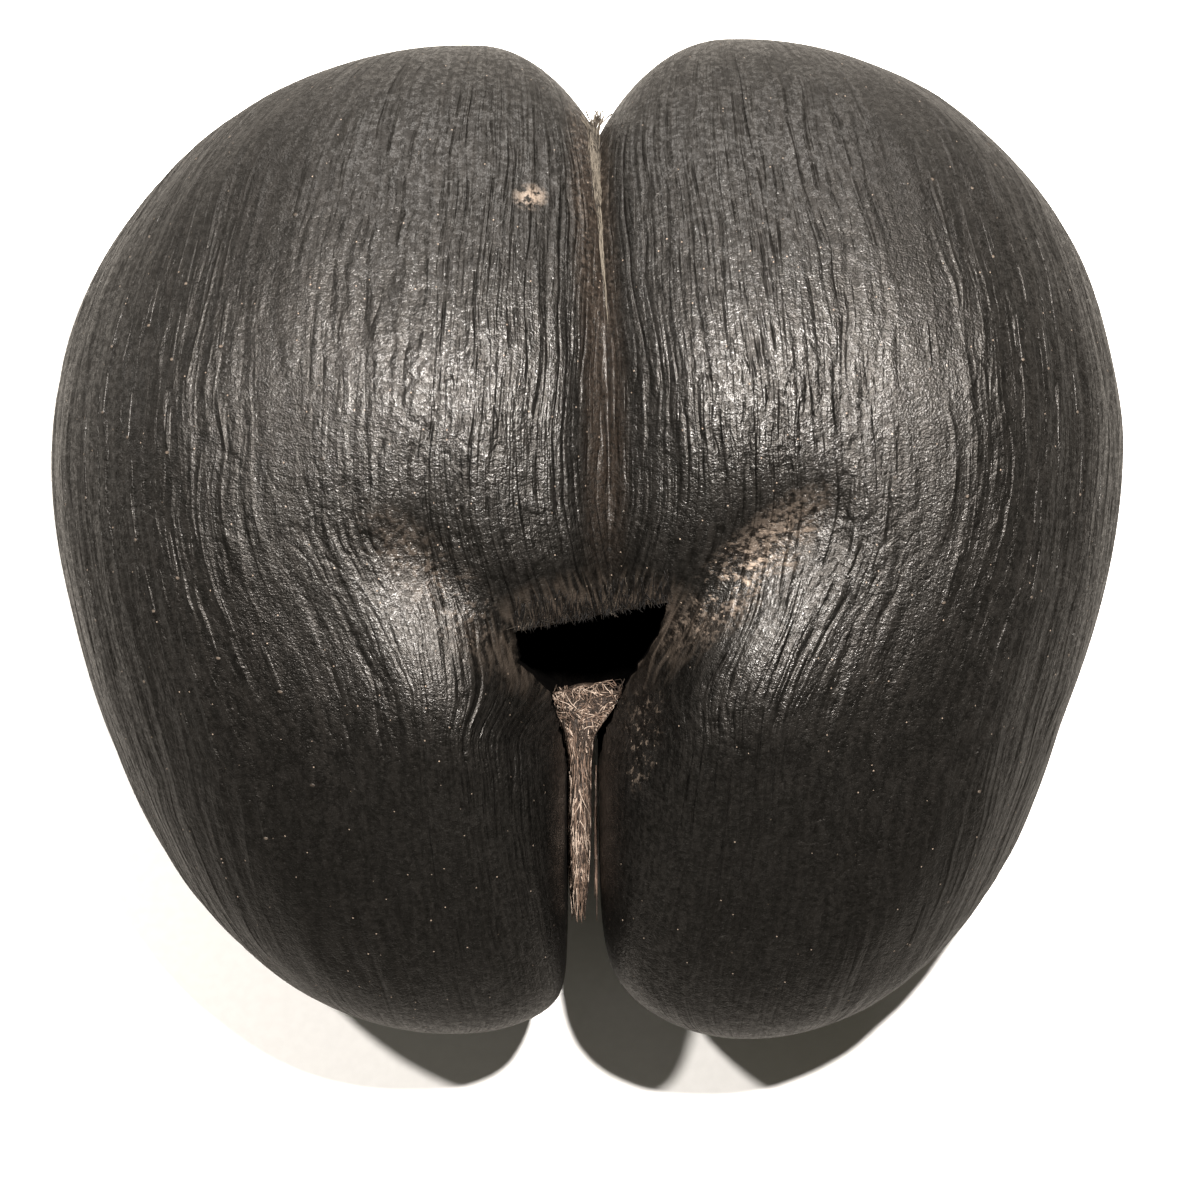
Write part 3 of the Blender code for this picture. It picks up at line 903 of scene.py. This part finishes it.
    # The shine is a thin coat, worn off in the furrows and the grain
    coat = most(graph.times(ridges, 0.85), graph.times(fine_ridges, 0.35), graph.times(cream, 0.8))
    coat = graph.times(graph.math("SUBTRACT", 1.0, coat), graph.ramp(grit, 0.43, 0.57, 0.12, 1.0))
    coat = graph.times(coat, graph.ramp(pores, 0.40, 0.60, 0.35, 1.0), graph.ramp(y, 0.0, -0.09, 1.0, 0.55))
    dulled = most(graph.times(left_thigh, 0.70), graph.times(flank, 0.48))
    coat = graph.times(coat, graph.math("SUBTRACT", 1.0, dulled))
    graph.feed(shader.inputs["Coat Weight"], coat)
    shader.inputs["Coat Roughness"].default_value = 0.26
    shader.inputs["Coat IOR"].default_value = 1.5

    crest = graph.math("SUBTRACT", graph.times(outer, 2.0), 1.0)
    normal = graph.bump(graph.times(cords, crest), 0.00035)
    normal = graph.bump(graph.times(ridges, crest), 0.00045, normal)
    normal = graph.bump(graph.times(fine_ridges, crest), 0.00011, normal)
    normal = graph.bump(graph.times(graph.math("SUBTRACT", 1.0, wormy), wrinkled), 0.00020, normal)
    normal = graph.bump(graph.times(graph.add(raised["Streak"], raised["Bead"]), outer), 0.00045, normal)
    normal = graph.bump(graph.add(leather, graph.times(grit, 0.8), graph.times(pores, 0.6)), 0.00026, normal)
    graph.feed(shader.inputs["Normal"], normal)
    graph.feed(shader.inputs["Coat Normal"], normal)
    return material


def opening_shade_material():
    """Near-black inside of the sprout opening: painted shade, darker than the shell it is cut into."""
    material, graph, shader = new_material("opening_painted_shade")
    place = graph.node("ShaderNodeTexCoord").outputs["Object"]
    fibre = graph.noise(place, 500.0, detail=3.0, roughness=0.6)
    colour = graph.blend(graph.ramp(fibre, 0.35, 0.7), (0.0004, 0.0003, 0.0003, 1), (0.0012, 0.0009, 0.0007, 1))
    graph.feed(shader.inputs["Base Color"], colour)
    shader.inputs["Specular IOR Level"].default_value = 0.02
    graph.feed(shader.inputs["Roughness"], graph.ramp(fibre, 0.3, 0.7, 0.85, 1.0))
    graph.feed(shader.inputs["Normal"], graph.bump(fibre, 0.0005))
    return material


def fibre_material(name, root_colour, tan_colour, pale_colour):
    """Dry husk fibre, from dark brown roots to cream strands by each strand's own shade."""
    material, graph, shader = new_material(name)
    place = graph.node("ShaderNodeTexCoord").outputs["Object"]
    shade = graph.node("ShaderNodeAttribute", attribute_name="shade").outputs["Fac"]
    mottle = graph.noise(place, 420.0, detail=3.0, roughness=0.6)
    clumps = graph.noise(place, 150.0, detail=2.0)
    value = graph.add(shade, graph.times(graph.add(mottle, -0.5), 1.1), graph.times(graph.add(clumps, -0.5), 1.6))
    tan = graph.blend(graph.ramp(value, 0.05, 0.60), (*root_colour, 1), (*tan_colour, 1))
    colour = graph.blend(graph.ramp(value, 0.60, 1.0), tan, (*pale_colour, 1))
    graph.feed(shader.inputs["Base Color"], colour)
    shader.inputs["Specular IOR Level"].default_value = 0.2
    graph.feed(shader.inputs["Roughness"], graph.ramp(mottle, 0.3, 0.7, 0.62, 0.85))
    graph.feed(shader.inputs["Normal"], graph.bump(mottle, 0.0003))
    return material


# What a user can change


class ShellSettings(bpy.types.PropertyGroup):
    meridians: IntProperty(name="Meridians", description="Facets round each lobe", default=400, min=32)
    parallels: IntProperty(name="Parallels", description="Facets along each lobe", default=122, min=16)
    wave_height: FloatProperty(
        name="Wave Height", description="Height of the broad waves", default=0.0013, unit="LENGTH", precision=4
    )
    furrow_depth: FloatProperty(
        name="Furrow Depth", description="Depth between the cords", default=0.00035, unit="LENGTH", precision=5
    )
    shell_colour: FloatVectorProperty(
        name="Shell", description="Colour of the shell", default=(0.0012, 0.0011, 0.0009), subtype="COLOR"
    )
    worn_colour: FloatVectorProperty(
        name="Worn Shell", description="Greyer shell between", default=(0.0062, 0.0055, 0.0048), subtype="COLOR"
    )
    brown_colour: FloatVectorProperty(
        name="Brown", description="Husk left in furrows", default=(0.016, 0.0105, 0.0070), subtype="COLOR"
    )
    # The cream also colours the painted glints on the shell
    cream_colour: FloatVectorProperty(
        name="Cream", description="Pale husk that clings", default=(0.20, 0.155, 0.12), subtype="COLOR"
    )


class FibreSettings(bpy.types.PropertyGroup):
    seed: IntProperty(name="Seed", description="Seed of the strands", default=7)
    root_colour: FloatVectorProperty(
        name="Roots", description="Darkest fibre", default=(0.014, 0.009, 0.006), subtype="COLOR"
    )
    tan_colour: FloatVectorProperty(
        name="Tan", description="Middle fibre", default=(0.085, 0.056, 0.040), subtype="COLOR"
    )
    pale_colour: FloatVectorProperty(
        name="Pale", description="Palest strands", default=(0.260, 0.205, 0.165), subtype="COLOR"
    )


class StageSettings(bpy.types.PropertyGroup):
    camera_height: FloatProperty(
        name="Camera Height", description="Above the floor", default=1.1, unit="LENGTH", subtype="DISTANCE"
    )
    key_power: FloatProperty(name="Key Light", description="Small light on the right", default=50.0, unit="POWER")
    fill_power: FloatProperty(name="Fill Light", description="Small light on the left", default=17.0, unit="POWER")
    sky_power: FloatProperty(name="Soft Light", description="Broad light at the stem end", default=16.0, unit="POWER")
    side_power: FloatProperty(name="Side Light", description="Broad light on the left", default=2.0, unit="POWER")
    surround: FloatProperty(name="Surround", description="Light from all round", default=0.085)


# Operators


class NUT_OT_shell(bpy.types.Operator):
    """Build the shell: two lobes joined, with the sprout opening and the resting spots cut."""

    bl_idname = "nut.shell"
    bl_label = "Build Shell"

    def execute(self, context):
        settings = context.scene.nut_shell
        shell = object_from("nut_shell_fine", lobe_form(LEFT, settings))
        opening = object_from("sprout_opening", opening_form())
        shell_finish, opening_shade_finish = shell_material(settings), opening_shade_material()
        shell.data.materials.append(shell_finish)
        opening.data.materials.append(opening_shade_finish)
        combine(shell, "UNION", object_from("right_lobe", lobe_form(RIGHT, settings)))
        combine(shell, "DIFFERENCE", opening)
        combine(shell, "DIFFERENCE", object_from("floor_cut", floor_form()))
        if not shell.data.polygons:
            raise RuntimeError("the lobes didn't join")
        fit_to_box(shell.data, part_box("nut_shell"))
        finish_piece(shell, "nut_shell", [])
        return {"FINISHED"}


class NUT_OT_fibre(bpy.types.Operator):
    """Build the husk fibre in the slit: a packed core, a woven mat at its head and long strands."""

    bl_idname = "nut.fibre"
    bl_label = "Build Husk Fibre"

    def execute(self, context):
        settings = context.scene.nut_fibre
        rng = random.Random(settings.seed)
        form = bmesh.new()
        shades = form.verts.layers.float.new("shade")
        template = strand_template()
        for group in (MAT, LONG, STRAY, WALL):
            for _ in range(group.count):
                line = strand_line(rng, group)
                add_strand(form, template, line, group.radius, rng.uniform(*group.shade), shades)
        bpy.data.meshes.remove(template)
        # The core's dark tone is painted shade between the strands
        for vertex in add_tuft_core(form):
            vertex[shades] = CORE_PAINTED_SHADE
        bmesh.ops.recalc_face_normals(form, faces=form.faces)
        tuft = object_from("fibre_tuft_fine", form)
        finish = fibre_material("husk_fibre", settings.root_colour, settings.tan_colour, settings.pale_colour)
        finish_piece(tuft, "fibre_tuft", [finish])
        return {"FINISHED"}


class NUT_OT_seam(bpy.types.Operator):
    """Lay thin fibres in the groove below the stem end and along the upper edge of the sprout opening."""

    bl_idname = "nut.seam"
    bl_label = "Build Groove Fibres"

    def execute(self, context):
        settings = context.scene.nut_fibre
        shell = bpy.data.objects["nut_shell_fine"]
        rng = random.Random(settings.seed + 1)
        form = bmesh.new()
        shades = form.verts.layers.float.new("shade")
        template = strand_template()
        for _ in range(SEAM.count):
            line = seam_line(rng, shell)
            add_strand(form, template, line, SEAM.radius, rng.uniform(*SEAM.shade), shades)
        for _ in range(RIM.count):
            add_strand(form, template, rim_line(rng, shell), RIM.radius, rng.uniform(*RIM.shade), shades)
        bpy.data.meshes.remove(template)
        bmesh.ops.recalc_face_normals(form, faces=form.faces)
        seam = object_from("groove_fibres", form)
        seam.data.materials.append(fibre_material("clinging_fibre", *CLINGING_COLOURS))
        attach(seam, "root")
        return {"FINISHED"}


def seam_line(rng, shell):
    """One fibre that lies along the bottom of the groove. The topmost ones fan out into the notch above it."""
    low, high = SEAM.roots
    along = low + (high - low) * rng.random() ** 0.35
    side = rng.gauss(0, 0.5)
    step = rng.uniform(*SEAM.length) / STRAND_STEPS
    line = []
    for _ in range(STRAND_STEPS + 1):
        spread = mix(SEAM_SPREAD_LOW, SEAM_SPREAD_TOP, smoothstep(low, high, along))
        spread += SEAM_FAN * smoothstep(SEAM_NOTCH, high, along)
        across = groove_shift(0, along) + SEAM_OFFSET + side * spread
        beneath = along
        hit, point, _, _ = shell.ray_cast(Vector((across, beneath, 1)), Vector((0, 0, -1)))
        while (not hit or point.z < SEAM_FLOOR) and beneath > low:
            beneath -= SEAM_STEP_BACK
            hit, point, _, _ = shell.ray_cast(Vector((across, beneath, 1)), Vector((0, 0, -1)))
        if not hit:
            raise RuntimeError("the groove isn't where its fibres lie")
        height = point.z - (along - beneath) * SEAM_SAG + rng.uniform(-0.3, 1.0) * SEAM_RISE
        line.append(Vector((across, along, height)))
        along -= step
        side += rng.gauss(0, 0.15)
    return line


def rim_line(rng, shell):
    """One fibre that lies on the shell above the sprout opening and reaches its edge, or just past it."""
    left, middle, right = (Vector(corner) for corner in RIM_CORNERS)
    share = rng.uniform(0, 2)
    edge = left.lerp(middle, share) if share < 1 else middle.lerp(right, share - 1)
    start, end = edge.y + rng.uniform(*RIM.roots), edge.y - rng.uniform(*RIM.length)
    across, slant = edge.x, rng.gauss(0, RIM_SLANT) / STRAND_STEPS
    line = []
    for k in range(STRAND_STEPS + 1):
        along = mix(start, end, k / STRAND_STEPS)
        above = Vector((across, max(along, edge.y + RIM_SAFE), 1))
        hit, point, _, _ = shell.ray_cast(above, Vector((0, 0, -1)))
        if not hit:
            raise RuntimeError("the sprout opening isn't where its fibres lie")
        line.append(Vector((across, along, point.z + RIM_RISE)))
        across += slant + rng.gauss(0, RIM_RISE) / 2
    return line


def add_light(name, place, aim, power, size):
    lamp = bpy.data.lights.new(name, "AREA")
    lamp.shape = "ELLIPSE"
    lamp.size, lamp.size_y = size
    lamp.color = LIGHT_COLOUR
    lamp.energy = power
    made = bpy.data.objects.new(name, lamp)
    made.location = place
    made.rotation_euler = (aim - place).to_track_quat("-Z", "Y").to_euler()
    bpy.context.scene.collection.objects.link(made)


class NUT_OT_stage(bpy.types.Operator):
    """Lay the pale surface and set the lights and the camera straight above the nut."""

    bl_idname = "nut.stage"
    bl_label = "Set Stage"

    def execute(self, context):
        settings = context.scene.nut_stage
        form = bmesh.new()
        bmesh.ops.create_grid(form, x_segments=8, y_segments=8, size=2.5)
        floor = object_from("pale_floor", form)
        material, graph, shader = new_material("pale_surface")
        place = graph.node("ShaderNodeTexCoord").outputs["Object"]
        tone = graph.ramp(graph.noise(place, 300.0, detail=3.0), 0.3, 0.7)
        pale = graph.blend(tone, (0.88, 0.87, 0.85, 1), (0.91, 0.90, 0.88, 1))
        # To rays that reflect off the shell the floor is dark grey: painted shade in the shell's reflection of the
        # floor
        mirrored = graph.node("ShaderNodeLightPath").outputs["Is Glossy Ray"]
        graph.feed(shader.inputs["Base Color"], graph.blend(mirrored, pale, (0.20, 0.19, 0.175, 1)))
        shader.inputs["Roughness"].default_value = 0.9
        shader.inputs["Specular IOR Level"].default_value = 0.1
        floor.data.materials.append(material)

        aim = Vector((0, 0, 0.08))
        add_light("key_light", Vector((0.17, 0.23, 1.10)), aim, settings.key_power, (0.05, 0.05))
        add_light("fill_light", Vector((-0.43, 0.28, 1.10)), aim, settings.fill_power, (0.05, 0.05))
        add_light("soft_light", Vector((0.0, 1.10, 0.45)), aim, settings.sky_power, (1.30, 0.80))
        add_light("side_light", Vector((-1.10, 0.40, 0.30)), aim, settings.side_power, (0.80, 0.50))
        world = bpy.data.worlds.new("surround")
        world.use_nodes = True
        background = world.node_tree.nodes["Background"]
        background.inputs["Color"].default_value = (1, 0.93, 0.74, 1)
        background.inputs["Strength"].default_value = settings.surround
        context.scene.world = world

        camera = bpy.data.cameras.new("camera")
        camera.sensor_width = 36
        subject = settings.camera_height - 0.08
        camera.lens = camera.sensor_width * subject / (1200 * 0.0002825)
        camera.clip_start, camera.clip_end = 0.05, 20
        holder = bpy.data.objects.new("camera", camera)
        holder.location = (0.0038, -0.0163, settings.camera_height)
        context.scene.collection.objects.link(holder)
        context.scene.camera = holder
        context.scene.view_settings.view_transform = "Standard"
        return {"FINISHED"}


class NUT_PT_panel(bpy.types.Panel):
    """The steps that build the nut, with their settings."""

    bl_label = "Coco de Mer Nut"
    bl_idname = "NUT_PT_panel"
    bl_space_type = "VIEW_3D"
    bl_region_type = "UI"
    bl_category = "Nut"

    def draw(self, context):
        steps = (("nut_shell", "nut.shell"), ("nut_fibre", "nut.fibre"), ("nut_stage", "nut.stage"))
        for settings_name, operator in steps:
            settings = getattr(context.scene, settings_name)
            column = self.layout.column()
            for name in settings.__annotations__:
                column.prop(settings, name)
            column.operator(operator)


SETTINGS = {"nut_shell": ShellSettings, "nut_fibre": FibreSettings, "nut_stage": StageSettings}
CLASSES = (*SETTINGS.values(), NUT_OT_shell, NUT_OT_fibre, NUT_OT_seam, NUT_OT_stage, NUT_PT_panel)


def register():
    for made in CLASSES:
        bpy.utils.register_class(made)
    for name, kind in SETTINGS.items():
        setattr(bpy.types.Scene, name, PointerProperty(type=kind))


def unregister():
    for name in SETTINGS:
        delattr(bpy.types.Scene, name)
    for made in reversed(CLASSES):
        bpy.utils.unregister_class(made)


def main():
    register()
    bpy.ops.nut.shell()
    bpy.ops.nut.fibre()
    bpy.ops.nut.seam()
    bpy.ops.nut.stage()


if __name__ == "__main__":
    main()
